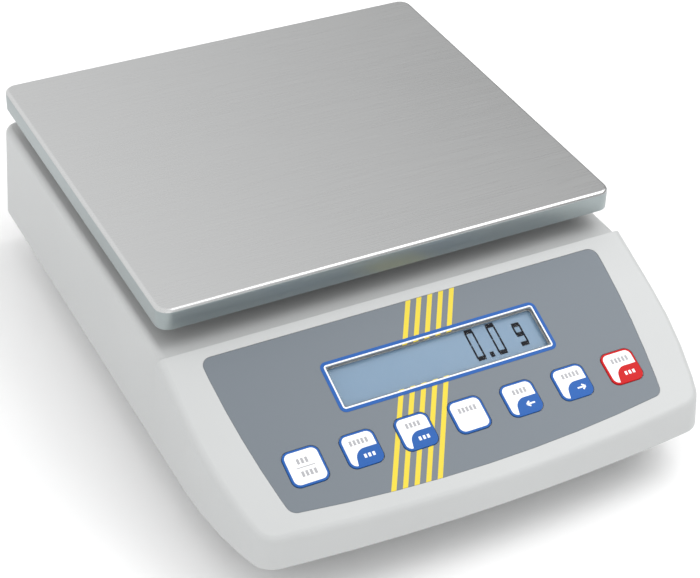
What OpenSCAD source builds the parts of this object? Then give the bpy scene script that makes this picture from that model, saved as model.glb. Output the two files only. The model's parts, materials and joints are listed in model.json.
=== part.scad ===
// Bench counting scale: stainless pan on a single-point load cell, in a two-shell plastic housing.
// Millimetres. Origin on the floor, midway across and along the housing; the operator faces +Y.

/* [Overall] */
// Width across the lower edge of the housing
body_w = 263; // [260:1:268]
// Depth along the lower edge of the housing
body_d = 343; // [342:1:348]
// Height from the floor to the top of the pan
scale_h = 106; // [105:0.5:110]

/* [Weighing pan] */
// Width of the pan
pan_w = 253; // [245:1:256]
// Depth of the pan
pan_d = 228; // [215:1:232]
// Depth of the pan's folded rim
pan_h = 11.4; // [9:0.2:13]
// Corner radius of the pan seen from above
pan_corner = 7; // [5:1:14]
// Thickness of the pan's sheet
pan_sheet = 1; // [0.8:0.1:1.5]

/* [Housing] */
// Height of the flat deck under the pan
deck_z = 82.5; // [82:0.5:84]
// Height of the upper housing's lower edge
edge_z = 27.5; // [26.5:0.5:28]
// Slope of the control panel from level, in degrees
panel_slope = 21.65; // [21:0.05:22]
// Distance from the middle of the housing forward to the crease above the panel
crease_back = 66.3; // [65.8:0.1:67]
// Wall thickness of the two shells
wall = 2.5; // [2:0.1:3]
// Radius of the folds round the deck and the panel
fold_r = 4; // [3:0.5:5]
// Width that each side loses between the lower edge and the deck
draft = 3; // [2:0.5:4]

/* [Control panel] */
// Width of the overlay at its top edge
foil_w = 222; // [216:1:226]
// Length of the overlay down the slope, at the middle
foil_len = 95.7; // [93:0.1:97]
// Width of the display opening
display_w = 115; // [112:0.5:117]
// Length of the display opening down the slope
display_len = 22.5; // [21:0.5:25]
// Distance between the keys
key_pitch = 29.2; // [28:0.1:30]
// Width and length of a key
key_size = 18.4; // [16:0.2:19]
// How far a key travels when it is pressed
key_travel = 0.5; // [0.3:0.1:0.6]

/* [Weighing system] */
// Length of the load cell
cell_len = 130; // [120:1:135]
// Width of the load cell
cell_w = 30; // [25:1:35]
// Height of the load cell
cell_h = 22; // [20:1:23]
// Distance across between the pan posts
post_span_x = 170; // [160:1:176]
// Distance along between the pan posts
post_span_y = 150; // [140:1:156]

/* [Feet] */
// Distance across between the feet
foot_span_x = 196; // [190:1:200]
// Distance along between the feet
foot_span_y = 255; // [250:1:260]
// Diameter of a foot's rubber sole
sole_d = 22; // [20:1:24]

/* [Hidden] */

$fn = 48;
tiny = 0.01;          // thickness of a slice in a hull
over = 1;             // how far a cutter runs past a face
fit = 0.05;           // radial clearance of a screw in its hole
shell_gap = 1.2;      // gap between the shells where they nest

front_left = [-1, -1];
front_right = [1, -1];
rear_left = [-1, 1];
rear_right = [1, 1];
corners = [front_left, front_right, rear_left, rear_right];

// Housing outline
side_bend_y = -100;   // where the straight sides start to curve in
side_r = 195;         // radius of the curved front part of the sides
front_r = 1100;       // radius of the bowed front
corner_r = 12;        // radius of the four corners
fold_steps = 4;
crease_y = -crease_back;
panel_step = 0.5;     // the panel stands this far above the deck
crease_z = deck_z + panel_step;
panel_draft = 0.5;    // width that each side loses up to the panel's fold
block_overlap = 6;    // how far the panel block runs back into the deck block

// Pan and its support
pan_y = 53;
pan_under = scale_h - pan_sheet;
pan_low = scale_h - pan_h;
support_plate = 5;
arm_h = 8;
arm_w = 10;
hub_w = 76;           // the support's middle plate, over the free end of the cell
hub_len = 56;
hub_y = -16;
arm_root_x = 32;      // where the arms start on the middle plate
arm_root_y = [2, 28];
post_d = 12;
post_foot_d = 18;     // thicker foot of each post, round the arm's end
post_foot_h = 12;
post_top = 98;
buffer_d = 16;
buffer_low = 94;
deck_hole_d = 20;
collar_d = 25;
collar_h = 3;

// Lower housing's floor and the steel plate on it
tub_z = 12;
floor_top = tub_z + wall;
plate_z = floor_top + 2;
plate_t = 2.5;

// Load cell and its spacers
spacer_h = 4;
spacer_len = 30;
cell_z = plate_z + plate_t + spacer_h;
cell_top = cell_z + cell_h;
cell_y = pan_y - cell_len / 2;
support_z = cell_top + spacer_h;
m6_r = 3;
m6_head_r = 5;
m6_head_h = 5.5;
m6_socket_r = 2.9;
m6_socket = 3;
cell_blind = 4;       // metal left under the blind holes in the cell
fixed_holes_y = [97, 110];
free_holes_y = [-5, 8];
sensing_r = 7;        // the two bores that make the cell flex, and the slot between them
sensing_slot = 4;
sensing_y = [pan_y - 12, pan_y + 12];

// Chassis plate
plate_w = 170;
plate_corner = 6;
plate_front = -60;
plate_rear = 143;
plate_points = [for (x = [-78, 78], y = [-52, 45, 135]) [x, y]];
m4_r = 2;
m4_head_r = 3.5;
m4_head_h = 2.4;
m4_nut_r = 3.9;
m4_nut_h = 3;
plate_screw_low = tub_z + 1.2;
plate_hole_low = tub_z + 1;
plate_boss_d = 9;

// Overload stops under the arms
stop_top = support_z - 0.9;
stop_points = [[-60, -6.5], [60, -6.5], [-60, 80], [60, 80]];
stop_stud_top = stop_top - 6;
stop_d = 8;

// Lower housing
tub_w = 228;
tub_front = -143;
tub_rear = 155;
tub_r = 10;
flange_t = 3;
flange_top = edge_z + flange_t;
screw_points = [
    for (side = [-1, 1], y = [-64, 45, 153]) [side * 121.5, y],
    [-90, -157.5], [90, -157.5]
];
boss_d = 8;
housing_head_h = 2;
flange_hole_r = 1.7;
pilot_r = 1.5;
pilot_depth = 12;
front_boss_top = 43.5;
deck_boss_top = deck_z - wall + 0.5;

// Feet
foot_y = 7.5;
nut_d = 10;
foot_boss_d = 15;
stud_hole_r = 3.5;
grips = 12;           // notches round a foot's knob
grip_r = 1.8;
grip_out = 0.6;       // how far a notch's centre lies outside the knob
stud_foot = 0.2;      // gap under the stud's end in the sole's socket
nut_low = tub_z + 3.5;
nut_top = tub_z + 10;
stud_top = tub_z + 20;
knob_d = 24;
knob_top = tub_z - 0.6;
sole_h = 3;
socket_floor = 1;

// Battery bay, under the panel
bay_w = 30;
bay_x = 43;
bay_rear = -84;
bay_top = floor_top + 17.8;
bay_wall = 2;
battery_w = 26.5;
battery_l = 46;
battery_h = 17.5;
battery_corner = 2;
battery_y = tub_front + wall + 0.4;
terminal_x = 6.3;
terminal_r = 2.8;
terminal_h = 2.4;
clip_size = [25, 4.6, 12.5];
clip_z = floor_top + 2.5;
slide_gap = 0.3;      // clearance round the sliding cover
cover_t = 2;
lip_top = edge_z - 0.6;
tongue = 1.4;         // width of the cover's side tongues, and their height and thickness
tongue_z = tub_z + 0.9;
tongue_t = 1;
groove_gap = 0.2;
slot_rear = bay_rear - 4;
tongue_set = 3;       // the tongues start this far behind the cover's lip

// Control panel, measured from its own plane
foil_top = 5.8;
foil_side_r = 500;
foil_end_r = 790;
foil_corner = 5;
foil_t = 0.4;
foil_sunk = 0.5;
foil_gap = 0.2;
window_corner = 2;
window_t = 1.4;
window_gap = 0.2;
glass_low = -4.8;
glass_t = 2;
glass_margin = [4, 5];
holder_margin = [6, 7];
holder_h = 5.6;
holder_rim = 2;
holder_floor = 3;
display_v = 40;       // centre of the display opening down the slope
display_x = 3;
key_v = 74.6;         // centre of the keys down the slope
keys_x = 2;
key_corner = 4;
first_key_extra = 0.8;
cap_top = 0.3;
cap_low = -0.9;
pocket_floor = -1.6;
cap_gap = 0.3;
stem_d = 4;
stem_hole_d = 5;
window_seat = -2;
window_margin = 3;
board_top = -10.4;
board_t = 1.6;
switch_w = 6;
switch_h = 3.5;
button_d = 3.4;
button_h = 0.6;
stem_low = board_top + switch_h + button_h + key_travel + 0.2;
board_w = 224;
board_len = 88;
board_v = 52;
board_corner = 3;
board_boss_d = 7;
board_pilot = 6;
board_screw = 5;      // screw length past the board
board_hole_r = 1.6;
boss_root = 0.5;      // how far a boss runs into the wall it stands on
small_head_r = 2.8;
small_head_h = 1.8;
board_points = [[-104, 16], [104, 16], [-97, 90], [97, 90], [-80, 50], [80, 50]];

// Boards at the rear
rear_board_y = 157;
rear_board_x = -65;
rear_board_w = 94;
rear_board_z = 52;
rear_board_h = 42;
rear_points = [for (x = [-106, -24], z = [37, 67]) [x, z]];
jack_x = -88;
serial_x = -52;
port_z = 50;
port_face = 169.8;
port_gap = 0.6;
jack_w = 14;
jack_h = 12;
jack_bore_r = 3.2;
jack_bore = 9.5;
jack_pin_r = 1.05;
serial_w = 30.8;
serial_h = 12.4;
serial_flange_t = 1;
serial_shell = [16.8, 6, 8.4];
serial_shell_t = 0.5;
serial_body = [19, 10.8];
contact_r = 0.5;
contact_pitch = 2.77;
contact_rows = 2.8;
contact_len = 5;
shield_x = -46;
shield_z = 51;
shield_size = [32, 8, 26];
shield_t = 0.5;
rear_boss_end = body_d / 2 - draft + 0.3;

// Cables
cell_cable_r = 1.8;
cell_cable_x = -46;
cell_cable_y = 70;
cell_cable_z = 34;
cell_cable_bend = 8;
ribbon_t = 1;
ribbon_w = 16;
ribbon_x = -76;
// Side view of the ribbon: along Y, and up
ribbon_route = [[156.4, 35], [151, 35], [147, 26], [-76, 26], [-83, 32], [-86, 58]];

shell_color = [0.86, 0.87, 0.86];
steel_color = [0.75, 0.76, 0.77];
dark_color = [0.15, 0.15, 0.16];
board_color = [0.1, 0.42, 0.22];
brass_color = [0.8, 0.65, 0.3];
alloy_color = [0.7, 0.72, 0.74];
foil_color = [0.52, 0.56, 0.6];

// ---- shared shapes ----

module rounded_rect(w, d, r) {
    square([w, d - 2 * r], center = true);
    square([w - 2 * r, d], center = true);
    for (x = [-1, 1], y = [-1, 1])
        translate([x * (w / 2 - r), y * (d / 2 - r)])
            circle(r);
}

module rounded_block(w, d, h, r) {
    linear_extrude(h)
        rounded_rect(w, d, r);
}

// Rounds the convex corners of a flat shape and pulls its whole edge in
module rounded_inset(r, inset) {
    offset(delta = -inset, $fn = 32)
        offset(r = r, $fn = 32)
            offset(delta = -r)
                children();
}

module side_limit(side) {
    translate([-body_w, side_bend_y])
        square([2 * body_w, body_d]);
    translate([side * (body_w / 2 - side_r), side_bend_y])
        circle(side_r, $fn = 72);
}

// The housing seen from above, at its lower edge
module plan_outline(inset = 0) {
    rounded_inset(corner_r, inset)
        intersection() {
            square([body_w, body_d], center = true);
            side_limit(-1);
            side_limit(1);
            translate([0, front_r - body_d / 2])
                circle(front_r, $fn = 280);
        }
}

module behind(y) {
    intersection() {
        children();
        translate([-body_w, y])
            square([2 * body_w, body_d]);
    }
}

module ahead_of(y) {
    intersection() {
        children();
        translate([-body_w, y - 2 * body_d])
            square([2 * body_w, 2 * body_d]);
    }
}

// Places a child on the panel: x across, v down the slope, n out of the surface
module on_panel(x = 0, v = 0, n = 0) {
    translate([0, crease_y, crease_z])
        rotate([panel_slope, 0, 0])
            translate([x, -v, n])
                children();
}

// The part of the housing behind the crease, as a solid with its folds
module deck_block(inset = 0, low = edge_z, top = deck_z, start = crease_y) {
    hull() {
        translate([0, 0, low])
            linear_extrude(tiny)
                behind(start)
                    plan_outline(inset);
        for (step = [0 : fold_steps])
            translate([0, 0, top - fold_r * (1 - sin(90 * step / fold_steps)) - tiny])
                linear_extrude(tiny)
                    behind(start)
                        plan_outline(inset + draft + fold_r * (1 - cos(90 * step / fold_steps)));
    }
}

// The part of the housing under the sloping panel, as a solid with its folds
module panel_block(inset = 0, low = edge_z, sunk = 0) {
    hull() {
        translate([0, 0, low])
            linear_extrude(tiny)
                ahead_of(crease_y + block_overlap)
                    plan_outline(inset);
        for (step = [0 : fold_steps])
            on_panel(0, 0, -sunk - fold_r * (1 - sin(90 * step / fold_steps)) - tiny)
                linear_extrude(tiny)
                    scale([1, 1 / cos(panel_slope), 1])
                        translate([0, -crease_y])
                            ahead_of(crease_y)
                                plan_outline(inset + panel_draft + fold_r * (1 - cos(90 * step / fold_steps)));
    }
}

module foil_outline(inset = 0) {
    rounded_inset(foil_corner, inset)
        intersection() {
            translate([-foil_w / 2, -foil_top - foil_len])
                square([foil_w, foil_len]);
            translate([foil_w / 2 - foil_side_r, 0])
                circle(foil_side_r, $fn = 180);
            translate([foil_side_r - foil_w / 2, 0])
                circle(foil_side_r, $fn = 180);
            translate([0, foil_end_r - foil_top - foil_len])
                circle(foil_end_r, $fn = 200);
        }
}

function key_x(i) = keys_x + (i - 3) * key_pitch;
function key_w(i) = key_size + (i == 0 ? first_key_extra : 0);

module key_outline(i, extra = 0) {
    rounded_rect(key_w(i) + 2 * extra, key_w(i) + 2 * extra, key_corner + extra);
}

// ---- pan and its support ----

module weighing_pan() {
    color(steel_color)
        translate([0, pan_y, pan_low])
            difference() {
                rounded_block(pan_w, pan_d, pan_h, pan_corner);
                translate([0, 0, -over])
                    rounded_block(pan_w - 2 * pan_sheet, pan_d - 2 * pan_sheet,
                                  pan_h - pan_sheet + over, pan_corner - pan_sheet);
            }
}

module at_posts() {
    for (c = corners)
        translate([c[0] * post_span_x / 2, pan_y + c[1] * post_span_y / 2, 0])
            children();
}

module pan_buffers() {
    color(dark_color)
        at_posts()
            difference() {
                translate([0, 0, buffer_low])
                    cylinder(d = buffer_d, h = pan_under - buffer_low);
                translate([0, 0, buffer_low - over])
                    cylinder(r = post_d / 2 + fit, h = post_top - buffer_low + over);
            }
}

// One cast arm from a point on the middle plate to a post
module support_arm(from, to) {
    run = to - from;
    translate([from[0], from[1], support_z])
        rotate([0, 0, atan2(run[1], run[0])])
            translate([0, -arm_w / 2, 0])
                cube([norm(run), arm_w, arm_h]);
}

module pan_support() {
    color(alloy_color)
        difference() {
            union() {
                translate([-hub_w / 2, hub_y, support_z])
                    cube([hub_w, hub_len, support_plate]);
                for (c = corners)
                    support_arm([c[0] * arm_root_x, arm_root_y[(c[1] + 1) / 2]],
                                [c[0] * post_span_x / 2, pan_y + c[1] * post_span_y / 2]);
                at_posts()
                    translate([0, 0, support_z])
                        cylinder(d = post_d, h = post_top - support_z);
                at_posts()
                    translate([0, 0, support_z])
                        cylinder(d = post_foot_d, h = post_foot_h);
            }
            for (y = free_holes_y)
                translate([0, y, support_z - over])
                    cylinder(r = m6_r + fit, h = support_plate + 2 * over);
        }
}

module m6_screw(low, seat) {
    translate([0, 0, low])
        cylinder(r = m6_r, h = seat - low);
    difference() {
        translate([0, 0, seat])
            cylinder(r = m6_head_r, h = m6_head_h);
        translate([0, 0, seat + m6_head_h - m6_socket])
            cylinder(r = m6_socket_r, h = m6_socket + over, $fn = 6);
    }
}

module support_screws() {
    color(dark_color)
        for (y = free_holes_y)
            translate([0, y, 0])
                m6_screw(cell_z + cell_blind + 2, support_z + support_plate);
}

module spacer(y, z, holes) {
    color(alloy_color)
        difference() {
            translate([-cell_w / 2, y, z])
                cube([cell_w, spacer_len, spacer_h]);
            for (hole = holes)
                translate([0, hole, z - over])
                    cylinder(r = m6_r + fit, h = spacer_h + 2 * over);
        }
}

module upper_spacer() {
    spacer(cell_y, cell_top, free_holes_y);
}

module lower_spacer() {
    spacer(cell_y + cell_len - spacer_len, plate_z + plate_t, fixed_holes_y);
}

module load_cell() {
    color(alloy_color)
        difference() {
            translate([-cell_w / 2, cell_y, cell_z])
                cube([cell_w, cell_len, cell_h]);
            for (y = sensing_y)
                translate([-cell_w / 2 - over, y, cell_z + cell_h / 2])
                    rotate([0, 90, 0])
                        cylinder(r = sensing_r, h = cell_w + 2 * over);
            translate([-cell_w / 2 - over, sensing_y[0], cell_z + (cell_h - sensing_slot) / 2])
                cube([cell_w + 2 * over, sensing_y[1] - sensing_y[0], sensing_slot]);
            for (y = fixed_holes_y)
                translate([0, y, cell_z - over])
                    cylinder(r = m6_r + fit, h = cell_h + 2 * over);
            for (y = free_holes_y)
                translate([0, y, cell_z + cell_blind])
                    cylinder(r = m6_r + fit, h = cell_h);
        }
}

module load_cell_screws() {
    color(dark_color)
        for (y = fixed_holes_y)
            translate([0, y, 0])
                m6_screw(plate_z + tiny, cell_top);
}

// ---- chassis ----

module chassis_plate() {
    color(steel_color)
        difference() {
            translate([0, (plate_front + plate_rear) / 2, plate_z])
                rounded_block(plate_w, plate_rear - plate_front, plate_t, plate_corner);
            for (p = plate_points)
                translate([p[0], p[1], plate_z - over])
                    cylinder(r = m4_r + fit, h = plate_t + 2 * over);
            for (p = stop_points)
                translate([p[0], p[1], plate_z - over])
                    cylinder(r = m4_r + fit, h = plate_t + 2 * over);
            for (y = fixed_holes_y)
                translate([0, y, plate_z - over])
                    cylinder(r = m6_r + fit, h = plate_t + 2 * over);
        }
}

module chassis_screws() {
    color(steel_color)
        for (p = plate_points)
            translate([p[0], p[1], 0]) {
                translate([0, 0, plate_screw_low])
                    cylinder(r = m4_r, h = plate_z + plate_t - plate_screw_low);
                translate([0, 0, plate_z + plate_t])
                    cylinder(r = m4_head_r, h = m4_head_h);
            }
}

module overload_stops() {
    color(steel_color)
        for (p = stop_points)
            translate([p[0], p[1], 0]) {
                translate([0, 0, plate_z])
                    cylinder(r = m4_r, h = plate_t);
                translate([0, 0, plate_z + plate_t])
                    cylinder(d = stop_d, h = stop_stud_top - plate_z - plate_t);
                translate([0, 0, stop_stud_top])
                    cylinder(r = m4_r, h = stop_top - stop_stud_top);
            }
}

module stop_nuts() {
    color(brass_color)
        for (p = stop_points)
            translate([p[0], p[1], stop_stud_top])
                difference() {
                    cylinder(r = m4_nut_r, h = m4_nut_h, $fn = 6);
                    translate([0, 0, -over])
                        cylinder(r = m4_r + fit, h = m4_nut_h + 2 * over);
                }
}

// ---- housing ----

module screw_boss(top) {
    difference() {
        translate([0, 0, flange_top])
            cylinder(d = boss_d, h = top - flange_top);
        translate([0, 0, flange_top - over])
            cylinder(r = pilot_r, h = pilot_depth + over);
    }
}

module board_boss(v_point) {
    on_panel(v_point[0], v_point[1], board_top)
        difference() {
            cylinder(d = board_boss_d, h = -board_top - wall + boss_root);
            translate([0, 0, -over])
                cylinder(r = pilot_r, h = board_pilot + over);
        }
}

module rear_boss(point) {
    translate([point[0], rear_board_y + board_t, point[1]])
        rotate([-90, 0, 0])
            difference() {
                cylinder(d = board_boss_d, h = rear_boss_end - rear_board_y - board_t);
                translate([0, 0, -over])
                    cylinder(r = pilot_r, h = board_pilot + over);
            }
}

module panel_openings() {
    on_panel(0, 0, -foil_sunk)
        linear_extrude(foil_sunk + over)
            foil_outline(-foil_gap);
    on_panel(display_x, display_v, window_seat)
        rounded_block(display_w + 2 * window_margin, display_len + 2 * window_margin,
                      over - window_seat, window_corner);
    on_panel(display_x, display_v, -wall - over)
        rounded_block(display_w, display_len, wall + 2 * over, window_corner);
    for (i = [0 : 6])
        on_panel(key_x(i), key_v, 0) {
            translate([0, 0, pocket_floor])
                linear_extrude(over - pocket_floor)
                    key_outline(i, cap_gap);
            translate([0, 0, -wall - over])
                cylinder(d = stem_hole_d, h = wall + over);
        }
}

module rear_opening(x, w, h) {
    translate([x - w / 2, rear_board_y + 2 * board_t, port_z - h / 2])
        cube([w, body_d / 2 - rear_board_y, h]);
}

module upper_housing() {
    color(shell_color) {
        difference() {
            union() {
                deck_block();
                panel_block();
                at_posts()
                    translate([0, 0, deck_z - over])
                        cylinder(d = collar_d, h = collar_h + over);
            }
            deck_block(wall, edge_z - over, deck_z - wall, crease_y - wall);
            panel_block(wall, edge_z - over, wall);
            at_posts()
                translate([0, 0, deck_z - 2 * wall])
                    cylinder(d = deck_hole_d, h = 3 * wall + collar_h);
            panel_openings();
            rear_opening(jack_x, jack_w + 2 * port_gap, jack_h + 2 * port_gap);
            rear_opening(serial_x, serial_w + 2 * port_gap, serial_h + 2 * port_gap);
        }
        for (p = screw_points)
            translate([p[0], p[1], 0])
                screw_boss(p[1] < tub_front ? front_boss_top : deck_boss_top);
        for (p = board_points)
            board_boss(p);
        for (p = rear_points)
            rear_boss(p);
    }
}

module foot_boss() {
    translate([0, 0, floor_top - over])
        cylinder(d = foot_boss_d, h = nut_top - floor_top + over);
}

module at_feet() {
    for (c = corners)
        translate([c[0] * foot_span_x / 2, foot_y + c[1] * foot_span_y / 2, 0])
            children();
}

module battery_bay(grow, low, top) {
    translate([bay_x - bay_w / 2 - grow, tub_front, low])
        cube([bay_w + 2 * grow, bay_rear - tub_front + grow, top - low]);
}

// Cuts the way of the sliding cover, open at the front
module cover_slot(half, low, h) {
    translate([bay_x - half, tub_front - over, low])
        cube([2 * half, slot_rear - tub_front + over, h]);
}

module lower_housing() {
    color(shell_color)
        difference() {
            union() {
                difference() {
                    union() {
                        translate([0, 0, edge_z])
                            linear_extrude(flange_t)
                                plan_outline(wall + shell_gap);
                        translate([0, (tub_front + tub_rear) / 2, tub_z])
                            rounded_block(tub_w, tub_rear - tub_front, flange_top - tub_z, tub_r);
                    }
                    translate([0, (tub_front + tub_rear) / 2, floor_top])
                        rounded_block(tub_w - 2 * wall, tub_rear - tub_front - 2 * wall,
                                      flange_top, tub_r - wall);
                }
                at_feet()
                    foot_boss();
                for (p = plate_points)
                    translate([p[0], p[1], floor_top - over])
                        cylinder(d = plate_boss_d, h = plate_z - floor_top + over);
                battery_bay(bay_wall, tub_z, bay_top + bay_wall);
            }
            at_feet()
                translate([0, 0, nut_low])
                    cylinder(r = nut_d / 2 + fit, h = nut_top);
            at_feet()
                translate([0, 0, tub_z - over])
                    cylinder(r = stud_hole_r, h = nut_low);
            for (p = plate_points)
                translate([p[0], p[1], plate_hole_low])
                    cylinder(r = m4_r + fit, h = plate_z);
            for (p = screw_points)
                translate([p[0], p[1], edge_z - over])
                    cylinder(r = flange_hole_r, h = flange_t + 2 * over);
            battery_bay(0, floor_top, bay_top);
            cover_slot(bay_w / 2 + slide_gap, tub_z - over, wall + 2 * over);
            cover_slot(bay_w / 2 + tongue + slide_gap, tongue_z - groove_gap, tongue_t + 2 * groove_gap);
            translate([bay_x - bay_w / 2 - slide_gap, tub_front - over, tub_z - over])
                cube([bay_w + 2 * slide_gap, wall + over, edge_z - slide_gap - tub_z + over]);
        }
}

module housing_screws() {
    color(steel_color)
        for (p = screw_points)
            translate([p[0], p[1], 0]) {
                translate([0, 0, edge_z])
                    cylinder(r = pilot_r - fit, h = flange_t + pilot_depth - 1);
                translate([0, 0, edge_z - housing_head_h])
                    cylinder(r = small_head_r, h = housing_head_h);
            }
}

// ---- control panel ----

module front_foil() {
    color(foil_color)
        difference() {
            on_panel(0, 0, -foil_sunk)
                linear_extrude(foil_t)
                    foil_outline();
            on_panel(display_x, display_v, -foil_sunk - over)
                rounded_block(display_w, display_len, foil_t + 2 * over, window_corner);
            for (i = [0 : 6])
                on_panel(key_x(i), key_v, -foil_sunk - over)
                    linear_extrude(foil_t + 2 * over)
                        key_outline(i, cap_gap);
        }
}

module display_window() {
    color([0.8, 0.88, 0.95, 0.4])
        on_panel(display_x, display_v, window_seat + fit)
            rounded_block(display_w + 2 * (window_margin - window_gap),
                          display_len + 2 * (window_margin - window_gap), window_t, window_corner - window_gap);
}

module display_glass() {
    color([0.62, 0.72, 0.84])
        on_panel(display_x, display_v, glass_low)
            translate([-display_w / 2 - glass_margin[0], -display_len / 2 - glass_margin[1], 0])
                cube([display_w + 2 * glass_margin[0], display_len + 2 * glass_margin[1], glass_t]);
}

module display_holder() {
    color([0.9, 0.9, 0.88])
        on_panel(display_x, display_v, board_top)
            difference() {
                translate([-display_w / 2 - holder_margin[0], -display_len / 2 - holder_margin[1], 0])
                    cube([display_w + 2 * holder_margin[0], display_len + 2 * holder_margin[1], holder_h]);
                translate([holder_rim - display_w / 2, holder_rim - display_len / 2, holder_floor])
                    cube([display_w - 2 * holder_rim, display_len - 2 * holder_rim, holder_h]);
            }
}

module display_board() {
    color(board_color)
        difference() {
            on_panel(0, board_v, board_top - board_t)
                rounded_block(board_w, board_len, board_t, board_corner);
            for (p = board_points)
                on_panel(p[0], p[1], board_top - board_t - over)
                    cylinder(r = board_hole_r, h = board_t + 2 * over);
        }
}

module display_board_screws() {
    color(steel_color)
        for (p = board_points)
            on_panel(p[0], p[1], 0) {
                translate([0, 0, board_top - board_t])
                    cylinder(r = pilot_r - fit, h = board_t + board_screw);
                translate([0, 0, board_top - board_t - small_head_h])
                    cylinder(r = small_head_r, h = small_head_h);
            }
}

module key_switches() {
    color(dark_color)
        for (i = [0 : 6])
            on_panel(key_x(i), key_v, board_top) {
                translate([-switch_w / 2, -switch_w / 2, 0])
                    cube([switch_w, switch_w, switch_h]);
                translate([0, 0, switch_h])
                    cylinder(d = button_d, h = button_h);
            }
}

module key(i, tint) {
    color(tint)
        on_panel(key_x(i), key_v, 0) {
            translate([0, 0, cap_low])
                linear_extrude(cap_top - cap_low)
                    key_outline(i);
            translate([0, 0, stem_low])
                cylinder(d = stem_d, h = cap_low - stem_low);
        }
}

// ---- electronics ----

module main_board() {
    color(board_color)
        difference() {
            translate([rear_board_x - rear_board_w / 2, rear_board_y, rear_board_z - rear_board_h / 2])
                cube([rear_board_w, board_t, rear_board_h]);
            for (p = rear_points)
                translate([p[0], rear_board_y - over, p[1]])
                    rotate([-90, 0, 0])
                        cylinder(r = board_hole_r, h = board_t + 2 * over);
        }
}

module main_board_screws() {
    color(steel_color)
        for (p = rear_points)
            translate([p[0], rear_board_y, p[1]])
                rotate([-90, 0, 0]) {
                    cylinder(r = pilot_r - fit, h = board_t + board_screw);
                    translate([0, 0, -small_head_h])
                        cylinder(r = small_head_r, h = small_head_h);
                }
}

module signal_shield() {
    color(steel_color)
        difference() {
            translate([shield_x - shield_size[0] / 2, rear_board_y - shield_size[1],
                       shield_z - shield_size[2] / 2])
                cube(shield_size);
            translate([shield_x + shield_t - shield_size[0] / 2, rear_board_y + shield_t - shield_size[1],
                       shield_z + shield_t - shield_size[2] / 2])
                cube([shield_size[0] - 2 * shield_t, shield_size[1], shield_size[2] - 2 * shield_t]);
        }
}

module power_jack() {
    color(dark_color)
        difference() {
            translate([jack_x - jack_w / 2, rear_board_y + board_t, port_z - jack_h / 2])
                cube([jack_w, port_face - rear_board_y - board_t, jack_h]);
            translate([jack_x, port_face - jack_bore, port_z])
                rotate([-90, 0, 0])
                    difference() {
                        cylinder(r = jack_bore_r, h = jack_bore + over);
                        translate([0, 0, -over])
                            cylinder(r = jack_pin_r, h = jack_bore + over);
                    }
        }
}

module serial_port() {
    flange_y = port_face - serial_shell[1] - serial_flange_t;
    color(alloy_color) {
        difference() {
            union() {
                translate([serial_x - serial_w / 2, flange_y, port_z - serial_h / 2])
                    cube([serial_w, serial_flange_t, serial_h]);
                translate([serial_x - serial_body[0] / 2, rear_board_y + board_t, port_z - serial_body[1] / 2])
                    cube([serial_body[0], flange_y - rear_board_y - board_t, serial_body[1]]);
                translate([serial_x - serial_shell[0] / 2, port_face - serial_shell[1],
                           port_z - serial_shell[2] / 2])
                    cube(serial_shell);
            }
            translate([serial_x + serial_shell_t - serial_shell[0] / 2,
                       port_face + serial_shell_t - serial_shell[1],
                       port_z + serial_shell_t - serial_shell[2] / 2])
                cube([serial_shell[0] - 2 * serial_shell_t, serial_shell[1],
                      serial_shell[2] - 2 * serial_shell_t]);
        }
        for (row = [0, 1], i = [0 : 4 - row])
            translate([serial_x + (i - 2 + row / 2) * contact_pitch, port_face - serial_shell[1],
                       port_z + contact_rows * (0.5 - row)])
                rotate([-90, 0, 0])
                    cylinder(r = contact_r, h = contact_len);
    }
}

// Out of the side of the cell, round one bend and back to the rear board
module load_cell_cable() {
    color(dark_color)
        translate([0, 0, cell_cable_z]) {
            translate([cell_cable_x + cell_cable_bend, cell_cable_y, 0])
                rotate([0, 90, 0])
                    cylinder(r = cell_cable_r, h = -cell_w / 2 - cell_cable_x - cell_cable_bend);
            translate([cell_cable_x + cell_cable_bend, cell_cable_y + cell_cable_bend, 0])
                rotate([0, 0, 180])
                    rotate_extrude(angle = 90)
                        translate([cell_cable_bend, 0])
                            circle(r = cell_cable_r);
            translate([cell_cable_x, cell_cable_y + cell_cable_bend, 0])
                rotate([-90, 0, 0])
                    cylinder(r = cell_cable_r, h = rear_board_y - cell_cable_y - cell_cable_bend);
        }
}

module ribbon_cable() {
    color([0.75, 0.75, 0.72])
        translate([ribbon_x - ribbon_w / 2, 0, 0])
            rotate([90, 0, 90])
                linear_extrude(ribbon_w)
                    for (i = [0 : len(ribbon_route) - 2])
                        hull() {
                            translate(ribbon_route[i])
                                circle(d = ribbon_t, $fn = 16);
                            translate(ribbon_route[i + 1])
                                circle(d = ribbon_t, $fn = 16);
                        }
}

// ---- battery ----

module battery() {
    color([0.25, 0.27, 0.3]) {
        translate([bay_x, battery_y + battery_l / 2, floor_top])
            rounded_block(battery_w, battery_l, battery_h, battery_corner);
        for (side = [-1, 1])
            translate([bay_x + side * terminal_x, battery_y + battery_l, floor_top + battery_h / 2])
                rotate([-90, 0, 0])
                    cylinder(r = terminal_r, h = terminal_h);
    }
}

module battery_clip() {
    color(dark_color)
        difference() {
            translate([bay_x - clip_size[0] / 2, battery_y + battery_l, clip_z])
                cube(clip_size);
            for (side = [-1, 1])
                translate([bay_x + side * terminal_x, battery_y + battery_l - over, floor_top + battery_h / 2])
                    rotate([-90, 0, 0])
                        cylinder(r = terminal_r + fit, h = terminal_h + 0.1 + over);
        }
}

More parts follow.
